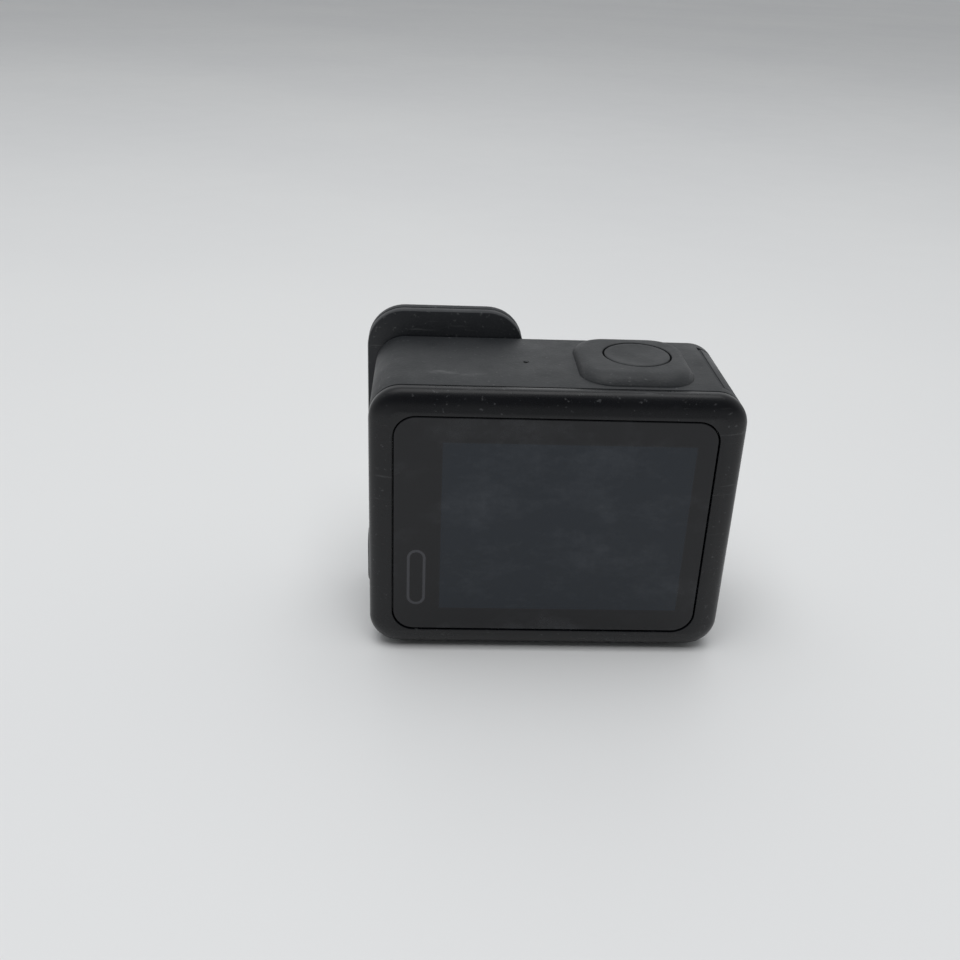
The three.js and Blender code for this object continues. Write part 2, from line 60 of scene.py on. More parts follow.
def place_camera():
    data = bpy.data.cameras.new("camera")
    data.lens = FOCAL_MM
    data.sensor_width = 36.0
    data.clip_start = 0.01
    data.clip_end = 20.0
    cam = bpy.data.objects.new("camera", data)
    bpy.context.scene.collection.objects.link(cam)
    turn = Matrix((CAMERA_RIGHT, [-v for v in CAMERA_DOWN], [-v for v in CAMERA_FORWARD])).transposed()
    cam.matrix_world = Matrix.Translation(Vector(CAMERA_AT) * MM) @ turn.to_4x4()
    bpy.context.scene.camera = cam


place_camera()
bpy.context.scene.view_settings.view_transform = "Standard"
bpy.context.scene.view_settings.look = "None"

# ---------------------------------------------------------------- sizes, read from the CAD frame
def box_mm(node):
    low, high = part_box(node)
    return [v / MM for v in low], [v / MM for v in high]


rim_lo, rim_hi = box_mm("rear_frame")
shell_lo, shell_hi = box_mm("housing")
X0, X1 = rim_lo[0], rim_hi[0]
Z0, Z1 = rim_lo[2], rim_hi[2]
Y_REAR = rim_hi[1]
Y_RIM = rim_lo[1]
Y_SHELL = shell_hi[1]
Y_FRONT = shell_lo[1]
PAD_TOP = shell_hi[2]
CORNER = 6.0
guard_lo, guard_hi = box_mm("lens_cover")
LX = (guard_lo[0] + guard_hi[0]) / 2
LZ = (guard_lo[2] + guard_hi[2]) / 2
GUARD = (guard_hi[0] - guard_lo[0]) / 2
button_lo, button_hi = box_mm("shutter_button")
BX = (button_lo[0] + button_hi[0]) / 2
BY = (button_lo[1] + button_hi[1]) / 2
B_RADIUS = (button_hi[0] - button_lo[0]) / 2
pin_lo, pin_hi = box_mm("hinge_pin")
HINGE_X = (pin_lo[0] + pin_hi[0]) / 2
HINGE_Z = (pin_lo[2] + pin_hi[2]) / 2
door_lo, door_hi = box_mm("side_door")
latch_lo, latch_hi = box_mm("door_latch")

CORNER_STEPS = 14


# ---------------------------------------------------------------- outlines and lofts
def around(a0, a1, b0, b1, radius, steps=CORNER_STEPS):
    """Points of a rounded rectangle, steps + 1 to a corner."""
    centres = (
        (a1 - radius, b0 + radius),
        (a1 - radius, b1 - radius),
        (a0 + radius, b1 - radius),
        (a0 + radius, b0 + radius),
    )
    points = []
    for corner, (ca, cb) in enumerate(centres):
        for k in range(steps + 1):
            angle = math.radians(-90 + 90 * corner + 90 * k / steps)
            points.append((ca + radius * math.cos(angle), cb + radius * math.sin(angle)))
    return points


def circle(ca, cb, radius, steps=CORNER_STEPS):
    """As many points as around() has, evenly spaced, each facing the matching one."""
    step = 90 / (steps + 1)
    points = []
    for corner in range(4):
        for k in range(steps + 1):
            angle = math.radians(-45 + 90 * corner + (k - steps / 2) * step)
            points.append((ca + radius * math.cos(angle), cb + radius * math.sin(angle)))
    return points


def polygon(ca, cb, radius, sides):
    """A circle's points, evenly spaced from the first axis."""
    turns = [2 * math.pi * k / sides for k in range(sides)]
    return [(ca + radius * math.cos(turn), cb + radius * math.sin(turn)) for turn in turns]


def quarter_turn(steps, first=0):
    """The angles of a rounded edge, from 0 to 90 degrees."""
    return [math.radians(90 * k / steps) for k in range(first, steps + 1)]


def at_y(points, y):
    return [(a, y, b) for a, b in points]


def at_x(points, x):
    return [(x, a, b) for a, b in points]


def at_z(points, z):
    return [(a, b, z) for a, b in points]


def mesh_object(name, vertices, faces):
    mesh = bpy.data.meshes.new(name)
    mesh.from_pydata([Vector(v) * MM for v in vertices], [], faces)
    mesh.validate()
    obj = bpy.data.objects.new(name, mesh)
    bpy.context.scene.collection.objects.link(obj)
    return obj


def loft(name, loops, ring=False):
    """Skins the loops in order. A ring closes on its first loop; otherwise the two ends are capped."""
    n = len(loops[0])
    vertices = [p for loop in loops for p in loop]
    faces = []
    last = len(loops) if ring else len(loops) - 1
    for i in range(last):
        j = (i + 1) % len(loops)
        for k in range(n):
            m = (k + 1) % n
            faces.append((i * n + k, i * n + m, j * n + m, j * n + k))
    if not ring:
        faces.append(tuple(range(n - 1, -1, -1)))
        faces.append(tuple((len(loops) - 1) * n + k for k in range(n)))
    obj = mesh_object(name, vertices, faces)
    face_outwards(obj)
    return obj


def face_outwards(obj):
    bm = bmesh.new()
    bm.from_mesh(obj.data)
    bmesh.ops.recalc_face_normals(bm, faces=bm.faces)
    bm.to_mesh(obj.data)
    bm.free()


def lathe_y(name, profile, sides=96, ring=True):
    """Turns (radius, y) points about the lens axis. The profile closes on itself, or ends on the axis."""
    vertices, faces = [], []
    rows = []
    for radius, y in profile:
        if radius < 1e-6:
            rows.append([len(vertices)])
            vertices.append((LX, y, LZ))
            continue
        row = []
        for k in range(sides):
            a = 2 * math.pi * k / sides
            row.append(len(vertices))
            vertices.append((LX + radius * math.cos(a), y, LZ + radius * math.sin(a)))
        rows.append(row)
    pairs = list(zip(rows, rows[1:] + rows[:1])) if ring else list(zip(rows, rows[1:]))
    for a, b in pairs:
        for k in range(sides):
            m = (k + 1) % sides
            if len(a) == 1:
                faces.append((a[0], b[m], b[k]))
            elif len(b) == 1:
                faces.append((a[k], a[m], b[0]))
            else:
                faces.append((a[k], a[m], b[m], b[k]))
    obj = mesh_object(name, vertices, faces)
    face_outwards(obj)
    return obj


def body_loop(inset, y):
    """The body's outline, drawn in by inset."""
    corner = max(CORNER - inset, 0.3)
    return at_y(around(X0 + inset, X1 - inset, Z0 + inset, Z1 - inset, corner), y)


def prism_y(name, outline, y0, y1):
    """An outline in X and Z, drawn out along Y."""
    return loft(name, [at_y(outline, y0), at_y(outline, y1)])


def block(name, x0, x1, y0, y1, z0, z1):
    return prism_y(name, ((x1, z0), (x1, z1), (x0, z1), (x0, z0)), y0, y1)


def rod_y(name, x, z, radius, y0, y1, sides=48):
    return prism_y(name, polygon(x, z, radius, sides), y0, y1)


def rod_z(name, x, y, radius, z0, z1, sides=64):
    outline = polygon(x, y, radius, sides)
    return loft(name, [at_z(outline, z0), at_z(outline, z1)])


def evaluated(obj):
    graph = bpy.context.evaluated_depsgraph_get()
    mesh = bpy.data.meshes.new_from_object(obj.evaluated_get(graph))
    obj.modifiers.clear()
    old = obj.data
    obj.data = mesh
    bpy.data.meshes.remove(old)


def combine(obj, others, how="DIFFERENCE"):
    """Boolean of obj with each of the others, which are then removed."""
    for other in others:
        modifier = obj.modifiers.new("cut", "BOOLEAN")
        modifier.operation = how
        modifier.solver = "MANIFOLD"
        modifier.object = other
    bpy.context.view_layer.update()
    evaluated(obj)
    for other in others:
        mesh = other.data
        bpy.data.objects.remove(other)
        bpy.data.meshes.remove(mesh)
    return obj


def smooth(obj, angle=32):
    """Smooth shading that keeps edges sharper than angle."""
    bm = bmesh.new()
    bm.from_mesh(obj.data)
    limit = math.radians(angle)
    for face in bm.faces:
        face.smooth = True
    for edge in bm.edges:
        edge.smooth = len(edge.link_faces) == 2 and edge.calc_face_angle(0) < limit
    bm.to_mesh(obj.data)
    bm.free()
    return obj


# ---------------------------------------------------------------- materials
def rgb(r, g, b):
    """sRGB 0-255 to scene-linear."""
    return tuple(((v / 255) ** 2.2) for v in (r, g, b)) + (1.0,)


class Nodes:
    def __init__(self, name):
        self.material = bpy.data.materials.new(name)
        self.material.use_nodes = True
        self.tree = self.material.node_tree
        self.tree.nodes.clear()
        self.output = self.tree.nodes.new("ShaderNodeOutputMaterial")
        self.shader = self.tree.nodes.new("ShaderNodeBsdfPrincipled")
        self.tree.links.new(self.shader.outputs[0], self.output.inputs["Surface"])
        self.coordinates = self.tree.nodes.new("ShaderNodeTexCoord").outputs["Object"]

    def link(self, a, b):
        self.tree.links.new(a, b)

    def noise(self, scale, detail=3.0, rough=0.55, stretch=None):
        source = self.coordinates
        if stretch:
            mapping = self.tree.nodes.new("ShaderNodeMapping")
            mapping.inputs["Scale"].default_value = stretch
            self.link(source, mapping.inputs["Vector"])
            source = mapping.outputs[0]
        node = self.tree.nodes.new("ShaderNodeTexNoise")
        node.inputs["Scale"].default_value = scale
        node.inputs["Detail"].default_value = detail
        node.inputs["Roughness"].default_value = rough
        self.link(source, node.inputs["Vector"])
        return node.outputs["Fac"]

    def cells(self, scale):
        node = self.tree.nodes.new("ShaderNodeTexVoronoi")
        node.feature = "SMOOTH_F1"
        node.inputs["Scale"].default_value = scale
        self.link(self.coordinates, node.inputs["Vector"])
        return node.outputs["Distance"]

    def span(self, value, low, high, from_low=0.3, from_high=0.7):
        node = self.tree.nodes.new("ShaderNodeMapRange")
        node.inputs["From Min"].default_value = from_low
        node.inputs["From Max"].default_value = from_high
        node.inputs["To Min"].default_value = low
        node.inputs["To Max"].default_value = high
        self.link(value, node.inputs["Value"])
        return node.outputs["Result"]

    def mix(self, factor, a, b):
        node = self.tree.nodes.new("ShaderNodeMix")
        node.data_type = "RGBA"
        self.link(factor, node.inputs["Factor"])
        for socket, value in ((node.inputs["A"], a), (node.inputs["B"], b)):
            if isinstance(value, tuple):
                socket.default_value = value
            else:
                self.link(value, socket)
        return node.outputs["Result"]

    def maths(self, kind, a, b=None):
        node = self.tree.nodes.new("ShaderNodeMath")
        node.operation = kind
        for socket, value in zip(node.inputs, (a, b)):
            if value is None:
                continue
            if isinstance(value, (int, float)):
                socket.default_value = value
            else:
                self.link(value, socket)
        return node.outputs[0]

    def bump(self, height, distance_mm, strength=1.0, under=None):
        node = self.tree.nodes.new("ShaderNodeBump")
        node.inputs["Strength"].default_value = strength
        node.inputs["Distance"].default_value = distance_mm * MM
        self.link(height, node.inputs["Height"])
        if under is not None:
            self.link(under, node.inputs["Normal"])
        return node.outputs["Normal"]

    def set(self, **values):
        for name, value in values.items():
            socket = self.shader.inputs[name.replace("_", " ")]
            if isinstance(value, (int, float, tuple)):
                socket.default_value = value
            else:
                self.link(value, socket)
        return self


def worn(n, colour, bare, amount):
    """Specks of dust and a few hairline scuffs over a colour."""
    specks = n.span(n.noise(1300, 2, 0.5), 0, amount, 0.66, 0.74)
    scuffs = n.span(n.noise(150, 5, 0.62, (0.3, 1.0, 7.0)), 0, amount, 0.64, 0.7)
    return n.mix(n.maths("MAXIMUM", specks, scuffs), colour, bare), scuffs


def moulded(name, dark, light, rough, grain_mm, grain_scale, spec=0.5, wear=0.3):
    """Spark-textured moulded plastic: pebbled grain, slow tone drift, handling marks in the roughness."""
    n = Nodes(name)
    drift = n.noise(45, 4, 0.6)
    fine = n.noise(grain_scale, 2, 0.5)
    handled = n.noise(110, 5, 0.65)
    pebble = n.cells(grain_scale * 0.8)
    tone = n.maths("ADD", n.maths("MULTIPLY", drift, 0.6), n.maths("MULTIPLY", fine, 0.4))
    clean = n.mix(n.span(tone, 0, 1, 0.38, 0.62), dark, light)
    colour, scuffs = worn(n, clean, rgb(104, 105, 106), wear)
    normal = n.bump(pebble, grain_mm, 0.9)
    normal = n.bump(fine, grain_mm * 0.6, 0.6, normal)
    unscuffed = n.span(handled, rough - 0.07, rough + 0.08, 0.35, 0.65)
    n.set(
        Base_Color=colour,
        Roughness=n.maths("SUBTRACT", unscuffed, n.maths("MULTIPLY", scuffs, 0.3)),
        Specular_IOR_Level=spec,
        Normal=normal,
    )
    return n.material


def polished(name, dark, light, rough, wear=0.35, spec=0.5):
    """Gloss moulding: faint smears in the roughness, hairline scratches, a trace of moulding ripple."""
    n = Nodes(name)
    drift = n.noise(30, 3, 0.6)
    smear = n.noise(70, 6, 0.7, (1.0, 1.0, 2.2))
    hair = n.noise(900, 2, 0.4, (0.12, 1.0, 1.6))
    ripple = n.noise(38, 1, 0.3)
    colour, scuffs = worn(n, n.mix(n.span(drift, 0, 1), dark, light), rgb(92, 93, 95), wear)
    normal = n.bump(ripple, 0.02, 0.4)
    normal = n.bump(hair, 0.004, 0.35, normal)
    unscuffed = n.span(smear, rough * 0.75, rough * 1.45, 0.35, 0.7)
    n.set(
        Base_Color=colour,
        Roughness=n.maths("ADD", unscuffed, n.maths("MULTIPLY", scuffs, 0.3)),
        Specular_IOR_Level=spec,
        Normal=normal,
    )
    return n.material


def metal(name, dark, light, rough):
    """Metal with a brushed finish, drawn across Z."""
    n = Nodes(name)
    brush = n.noise(700, 3, 0.6, (1.0, 1.0, 14.0))
    tone = n.noise(120, 4, 0.6)
    n.set(
        Base_Color=n.mix(n.span(tone, 0, 1), dark, light),
        Metallic=1.0,
        Roughness=n.span(brush, rough * 0.8, rough * 1.3, 0.35, 0.65),
        Normal=n.bump(brush, 0.006, 0.4),
    )
    return n.material


def rubbery(name, dark, light):
    """Soft matt rubber or foam, dusty in patches."""
    n = Nodes(name)
    dust = n.noise(260, 5, 0.7)
    fine = n.noise(2600, 2, 0.5)
    n.set(
        Base_Color=n.mix(n.span(dust, 0, 1, 0.4, 0.7), dark, light),
        Roughness=n.span(dust, 0.72, 0.9, 0.35, 0.65),
        Normal=n.bump(fine, 0.02, 0.5),
    )
    return n.material


def circuit(name, dark, light):
    """Solder-masked board: faint copper tracks under the mask in fine straight bands."""
    n = Nodes(name)
    wave = n.tree.nodes.new("ShaderNodeTexWave")
    wave.wave_type = "BANDS"
    wave.bands_direction = "DIAGONAL"
    wave.inputs["Scale"].default_value = 260
    wave.inputs["Distortion"].default_value = 1.4
    n.link(n.coordinates, wave.inputs["Vector"])
    patches = n.noise(190, 1, 0.2)
    bands = n.span(wave.outputs["Fac"], 0, 1, 0.55, 0.75)
    tracks = n.maths("MULTIPLY", bands, n.span(patches, 0, 1, 0.45, 0.55))
    n.set(
        Base_Color=n.mix(tracks, dark, light),
        Roughness=n.span(n.noise(500, 3), 0.3, 0.5),
        Normal=n.bump(tracks, 0.02, 0.6),
    )
    return n.material


SHELL = moulded("housing_polymer", rgb(37, 39, 41), rgb(43, 45, 47), 0.5, 0.034, 3000, 0.55)
SATIN = moulded("black_polymer", rgb(33, 35, 38), rgb(39, 41, 44), 0.46, 0.026, 3400, 0.45)
BAFFLE = moulded("baffle_black", rgb(11, 11, 13), rgb(17, 17, 19), 0.6, 0.01, 5200, 0.3, 0.05)
PRINT = polished("print_black", rgb(9, 9, 11), rgb(13, 13, 15), 0.1, 0.05, 0.3)
RIM = polished("gloss_black_polymer", rgb(17, 18, 21), rgb(22, 23, 26), 0.27, 0.35, 0.4)
RUBBER = rubbery("silicone_rubber", rgb(24, 24, 25), rgb(38, 38, 39))
STEEL = metal("stainless_steel", rgb(168, 170, 173), rgb(200, 201, 203), 0.3)
ALUMINIUM = metal("aluminium", rgb(140, 142, 146), rgb(165, 167, 170), 0.38)
BOARD = circuit("circuit_board", rgb(14, 58, 38), rgb(42, 96, 60))
CHIP = moulded("component_body", rgb(30, 30, 32), rgb(42, 42, 44), 0.45, 0.01, 5200)
CELL = moulded("battery_wrap", rgb(40, 43, 48), rgb(52, 55, 60), 0.4, 0.008, 2600)
PALE = rubbery("pale_polymer", rgb(128, 134, 142), rgb(158, 162, 168))
DISPLAY = polished("display_module", rgb(28, 31, 36), rgb(34, 38, 44), 0.12)


def in_window(n, x0, x1, z0, z1, edge=0.25):
    """1 inside a rectangle in X and Z, fading over its edge."""
    parts = n.tree.nodes.new("ShaderNodeSeparateXYZ")
    n.link(n.coordinates, parts.inputs[0])
    factor = None
    for axis, low, high in (("X", x0, x1), ("Z", z0, z1)):
        rise = n.span(parts.outputs[axis], 0, 1, (low - edge) * MM, low * MM)
        fall = n.span(parts.outputs[axis], 1, 0, high * MM, (high + edge) * MM)
        both = n.maths("MULTIPLY", rise, fall)
        factor = both if factor is None else n.maths("MULTIPLY", factor, both)
    return factor


def pill_line(n, middle_x, middle_z, half_width, half_length, line=0.42):
    """1 along the outline of an upright pill: a plain printed mark with no meaning."""
    parts = n.tree.nodes.new("ShaderNodeSeparateXYZ")
    n.link(n.coordinates, parts.inputs[0])
    across = n.maths("SUBTRACT", parts.outputs["X"], middle_x * MM)
    along = n.maths("ABSOLUTE", n.maths("SUBTRACT", parts.outputs["Z"], middle_z * MM))
    along = n.maths("MAXIMUM", n.maths("SUBTRACT", along, (half_length - half_width) * MM), 0.0)
    reach = n.maths("ADD", n.maths("MULTIPLY", across, across), n.maths("MULTIPLY", along, along))
    off = n.maths("ABSOLUTE", n.maths("SUBTRACT", n.maths("SQRT", reach), half_width * MM))
    return n.span(off, 1, 0, line / 2 * MM, (line / 2 + 0.1) * MM)


def paler(colour, factor):
    return tuple(v * factor for v in colour[:3]) + (1.0,)


def touch_glass(name, window, border, panel, rough, mark=None):
    """Black-printed cover glass with the slightly paler display seen through its window."""
    n = Nodes(name)
    inside = in_window(n, *window)
    print_tone = n.mix(n.span(n.noise(60, 3), 0, 1), border, paler(border, 1.12))
    if mark:
        print_tone = n.mix(pill_line(n, *mark), print_tone, rgb(66, 67, 71))
    panel_tone = n.mix(n.span(n.noise(24, 2), 0, 1), panel, paler(panel, 1.15))
    smear = n.noise(55, 6, 0.72, (1.0, 1.0, 1.8))
    prints = n.noise(620, 3, 0.6, (1.0, 1.0, 0.4))
    oily = n.maths("MULTIPLY", n.span(smear, 0, 1, 0.48, 0.72), n.span(prints, 0.4, 1))
    film = n.maths("MULTIPLY", oily, 0.16)
    n.set(
        Base_Color=n.mix(film, n.mix(inside, print_tone, panel_tone), rgb(112, 116, 122)),
        Roughness=n.span(oily, rough, rough + 0.16, 0, 1),
        Specular_IOR_Level=0.42,
        Normal=n.bump(n.noise(26, 1, 0.3), 0.012, 0.35),
    )
    return n.material


REAR_WINDOW = (-25.2, 20.8, 10.1, 45.1)
REAR_MARK = (25.4, 16.8, 1.5, 5.8)  # middle X and Z, half width, half length
FRONT_WINDOW = (-26.0, -2.0, 27.6, 48.4)
REAR_GLASS = touch_glass("rear_cover_glass", REAR_WINDOW, rgb(17, 18, 22), rgb(28, 35, 43), 0.09, REAR_MARK)
FRONT_GLASS = touch_glass("front_cover_glass", FRONT_WINDOW, rgb(12, 13, 16), rgb(21, 25, 31), 0.07)


def clear_glass(name):
    """Thin clear glass, faintly smeared. Its low index keeps the reflections weak."""
    n = Nodes(name)
    smear = n.noise(80, 5, 0.7)
    n.set(
        Base_Color=(0.92, 0.95, 0.94, 1.0),
        Roughness=n.span(smear, 0.0, 0.02, 0.5, 0.8),
        Transmission_Weight=1.0,
        Specular_IOR_Level=0.5,
        IOR=1.17,
        Normal=n.bump(n.noise(30, 1, 0.3), 0.003, 0.2),
    )
    return n.material


def coated_lens(name, deep, painted_reflection_tint):
    """A lens seen against its dark barrel: near-black glass whose base colour turns to the tint at grazing
    angles, a painted reflection of its coating.
    """
    n = Nodes(name)
    facing = n.tree.nodes.new("ShaderNodeLayerWeight")
    facing.inputs["Blend"].default_value = 0.45
    # painted reflection: the base colour turns from near-black to the purple coating tint as the surface
    # turns away from view
    colour_with_painted_reflection = n.mix(facing.outputs["Facing"], deep, painted_reflection_tint)
    dust = n.noise(700, 4, 0.75)
    n.set(
        Base_Color=colour_with_painted_reflection,
        Roughness=n.span(dust, 0.015, 0.05, 0.55, 0.8),
        Specular_IOR_Level=0.5,
        Thin_Film_Thickness=125.0,
        Thin_Film_IOR=1.36,
        Normal=n.bump(n.noise(40, 1), 0.002, 0.2),
    )
    return n.material


WINDOW = clear_glass("cover_glass")
# the second colour is the coating's purple reflection, painted into the base colour at grazing angles
LENS = coated_lens("optical_glass", rgb(7, 8, 16), rgb(58, 30, 104))

BY_SLOT = {
    "housing_polymer": SHELL,
    "black_polymer": SATIN,
    "gloss_black_polymer": RIM,
    "cover_glass": FRONT_GLASS,
    "display_module": DISPLAY,
    "optical_glass": LENS,
    "silicone_rubber": RUBBER,
    "stainless_steel": STEEL,
    "aluminium": ALUMINIUM,
    "circuit_board": BOARD,
    "component_body": CHIP,
    "battery_wrap": CELL,
    "pale_polymer": PALE,
}
for part in frame["record"]["subparts"]:
    node = frame["nodes"][part["node"]]
    node.data.materials.clear()
    node.data.materials.append(BY_SLOT[part["material_slot"]])


def finish_piece(obj, body, material, nodes=(), angle=32):
    smooth(obj, angle)
    obj.data.materials.clear()
    obj.data.materials.append(material)
    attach(obj, body)
    if nodes:
        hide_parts(*nodes)
    return obj


# ---------------------------------------------------------------- rear rim and its glass
GLASS = (-28.95, 29.7, 5.25, 50.05)
GLASS_CORNER = 4.0
GLASS_LEDGE = 13.85  # the rim's ledge under the glass, along Y
SLAB_GROW = 0.15  # how far a cover glass reaches past its drawn outline


def glass_outline(grow):
    x0, x1, z0, z1 = GLASS
    return around(x0 - grow, x1 + grow, z0 - grow, z1 + grow, GLASS_CORNER + grow)


def rear_rim():
    """The shoulder turns quickly at the side, ever more slowly towards the glass, and meets it sloping."""
    lip_slope, reach, ease, steps = 14.0, 3.6, 2.2, 22
    shares = [(1 - (k + 0.5) / steps) ** ease for k in range(steps)]
    slopes = [math.radians(lip_slope + (90 - lip_slope) * share) for share in shares]
    scale = reach / sum(math.cos(v) for v in slopes)
    rise = scale * sum(math.sin(v) for v in slopes)
    y, inset = Y_REAR - 0.2 - rise, 0.0
    loops = [body_loop(0.9, Y_RIM), body_loop(0.2, Y_RIM), body_loop(0.05, Y_RIM + 0.07)]
    loops += [body_loop(0, Y_RIM + 0.22), body_loop(0, y)]
    for slope in slopes:
        inset += scale * math.cos(slope)
        y += scale * math.sin(slope)
        loops.append(body_loop(inset, y))
    for grow, level in (
        (0.42, Y_REAR - 0.03),
        (0.34, Y_REAR - 0.05),
        (0.3, Y_REAR - 0.12),
        (0.3, GLASS_LEDGE),
        (-1.0, GLASS_LEDGE),
        (-1.0, Y_RIM),
    ):
        loops.append(at_y(glass_outline(grow), level))
    return loft("rear_rim", loops, ring=True)


finish_piece(rear_rim(), "camera", RIM, ["rear_frame"], 40)


def slab_with_soft_face(name, outline, y_back, y_face, edge, outward=1):
    """A plate whose visible face has a rounded edge. outward is the way the face looks along Y."""
    chamfer = 0.12
    loops = [
        at_y(outline(SLAB_GROW - chamfer), y_back),
        at_y(outline(SLAB_GROW), y_back + outward * chamfer),
        at_y(outline(SLAB_GROW), y_face - outward * edge),
    ]
    for t in quarter_turn(5, 1):
        drawn_in = outline(SLAB_GROW - edge * (1 - math.cos(t)))
        loops.append(at_y(drawn_in, y_face - outward * edge * (1 - math.sin(t))))
    return loft(name, loops)


finish_piece(
    slab_with_soft_face("rear_cover_glass", glass_outline, 14.15, 15.25, 0.32),
    "camera",
    REAR_GLASS,
    ["rear_glass"],
    40,
)


# ---------------------------------------------------------------- housing
DOOR_Y0, DOOR_Y1, DOOR_Z0 = door_lo[1], door_hi[1], door_lo[2]
KNUCKLE = 1.45
DOOR_THICKNESS = 2.1
POCKET_INSET = 3.2
PLAY = 0.3
HINGE_RELIEF = 0.52
MODE_Y, MODE_Z = -1.5, 12.3
MODE_LENGTH, MODE_WIDTH = 12.6, 7.0
MIC_X, MIC_Y = 5.3, -1.5
LIGHT_X, LIGHT_Z, LIGHT_RADIUS = -28.5, 22.8, 0.9
TUBE_BORE = 9.0
PIN_BORE = 0.75
BEYOND_FRONT, BEYOND_REAR, BEYOND_TOP, BEYOND_SIDE = -18, 20, 60, -42  # cutters end clear of the shell
HOLLOW = (-30, 32.4, 5.2, 52.3, 4.5)  # limits in X and in Z, and the corner radius
HOLLOW_FRONT = -12.85
TUBE_REAR = 0.3
CAP_BORE = 6.6
PORTS_X = (-33, -29)  # through the wall behind the door
BATTERY_MOUTH = (-3.5, 8.5, 8.7, 42.8)  # limits in Y and in Z
USB_MOUTH = (-10.5, -6.8, 23.8, 33.2, 1.6)  # the same, and the corner radius
CARD_MOUTH = (-8.95, -7.05, 36.2, 48)
FOOT_X, FOOT_Y, FOOT_TOP = 20.9, 10.8, 3.6  # half sizes and depth of the recess for the finger base
SHELL_EDGE = 1.0  # rounding of the front edge


def inner_core(inset, name):
    return loft(name, [body_loop(inset, -22), body_loop(inset, 22)])


def door_region(inset, play, knuckle_play, name):
    """What the shell holds left of the hinge line and above the door's foot, with the hinge knuckle."""
    low = DOOR_Z0 - play
    outline = ((HINGE_X, low), (HINGE_X, BEYOND_TOP), (BEYOND_SIDE, BEYOND_TOP), (BEYOND_SIDE, low))
    region = loft(name, [at_y(outline, DOOR_Y0 - play), at_y(outline, DOOR_Y1 + play)])
    combine(region, [inner_core(inset, "core")])
    knuckle = rod_y("knuckle", HINGE_X, HINGE_Z, KNUCKLE + knuckle_play, DOOR_Y0 - play, DOOR_Y1 + play)
    return combine(region, [knuckle], "UNION")


def mode_outline(grow):
    return around(
        MODE_Y - MODE_WIDTH / 2 - grow,
        MODE_Y + MODE_WIDTH / 2 + grow,
        MODE_Z - MODE_LENGTH / 2 - grow,
        MODE_Z + MODE_LENGTH / 2 + grow,
        MODE_WIDTH / 2 - 0.05 + grow,
    )


def housing():
    """The hollow shell, with every opening that the outer pieces and the ports need."""
    loops = []
    for t in quarter_turn(8):
        loops.append(body_loop(SHELL_EDGE * (1 - math.sin(t)), Y_FRONT + SHELL_EDGE * (1 - math.cos(t))))
    loops += [body_loop(0, Y_SHELL - 0.22), body_loop(0.05, Y_SHELL - 0.07), body_loop(0.2, Y_SHELL)]
    shell = loft("housing_shell", loops)
    cavity = prism_y("cavity", around(*HOLLOW), HOLLOW_FRONT, BEYOND_REAR)
    mouth = [body_loop(1.85, BEYOND_FRONT), body_loop(1.85, Y_FRONT)]
    recess = loft("recess", mouth + [body_loop(2.0, Y_FRONT + 0.15), body_loop(2.0, -14.35)])
    barrel = rod_y("barrel", LX, LZ, TUBE_BORE, BEYOND_FRONT, TUBE_REAR)
    display = block("display", -27.6, -0.4, -16, -12, 25.9, 50.1)
    combine(shell, [cavity, recess, barrel, display])
    bore = rod_z("bore", BX, BY, CAP_BORE, 50, BEYOND_TOP)
    microphone = rod_z("microphone", MIC_X, MIC_Y, 0.45, 50, BEYOND_TOP, 24)
    flare = loft(
        "flare",
        [at_z(circle(MIC_X, MIC_Y, 0.44), Z1 - 0.2), at_z(circle(MIC_X, MIC_Y, 0.66), Z1 + 0.02)],
    )
    light = rod_y("light", LIGHT_X, LIGHT_Z, LIGHT_RADIUS, BEYOND_FRONT, -12, 24)
    speaker = block("speaker_hole", 13.4, 24.6, -16, -12, 8.4, 19.6)
    key = loft(
        "key",
        [
            at_x(mode_outline(0.3), 30),
            at_x(mode_outline(0.3), X1 - 0.22),
            at_x(mode_outline(0.55), X1 + 0.03),
            at_x(mode_outline(0.55), X1 + 2),
        ],
    )
    combine(shell, [bore, microphone, flare, light, speaker, key])
    pocket = door_region(POCKET_INSET, PLAY, HINGE_RELIEF, "pocket")
    battery = block("battery_mouth", *PORTS_X, *BATTERY_MOUTH)
    usb = loft("usb_mouth", [at_x(around(*USB_MOUTH), x) for x in PORTS_X])
    card = block("card_mouth", *PORTS_X, *CARD_MOUTH)
    pin = rod_y("pin_bore", HINGE_X, HINGE_Z, PIN_BORE, -14.1, 10.7, 24)
    foot = block("foot_recess", -FOOT_X, FOOT_X, -FOOT_Y, FOOT_Y, -1, FOOT_TOP)
    combine(shell, [pocket, battery, usb, card, pin, foot])
    return shell


finish_piece(housing(), "camera", SHELL, ["housing"], 32)


def shutter_pad():
    """The raised pad round the shutter button: a mound, steepest where it springs from the top face."""
    top = (-23.4, -6.3, -9.4, 6.0, 4.8)
    foot = (-25.7, -4.2, -13.2, 10.2, 6.2)
    height = PAD_TOP - 0.03 - Z1
    sunk, steps, steepness = 0.02, 16, 3
    loops = []
    for k in range(steps + 1):
        t = k / steps
        side = [f + (s - f) * t for f, s in zip(foot, top)]
        loops.append(at_z(around(*side), Z1 - sunk + (height + sunk) * (1 - (1 - t) ** steepness)))
    z = Z1 + height
    loops.append(at_z(circle(BX, BY, 7.0), z))
    for grow, drop in ((0.5, 0.0), (0.38, 0.04), (0.31, 0.13), (0.3, 0.3), (0.3, 3.6), (1.2, 3.6)):
        loops.append(at_z(circle(BX, BY, B_RADIUS + grow), z - drop))
    loops.append(at_z(around(*foot), z - 3.6))
    return loft("shutter_pad", loops, ring=True)


finish_piece(shutter_pad(), "camera", SHELL, (), 50)


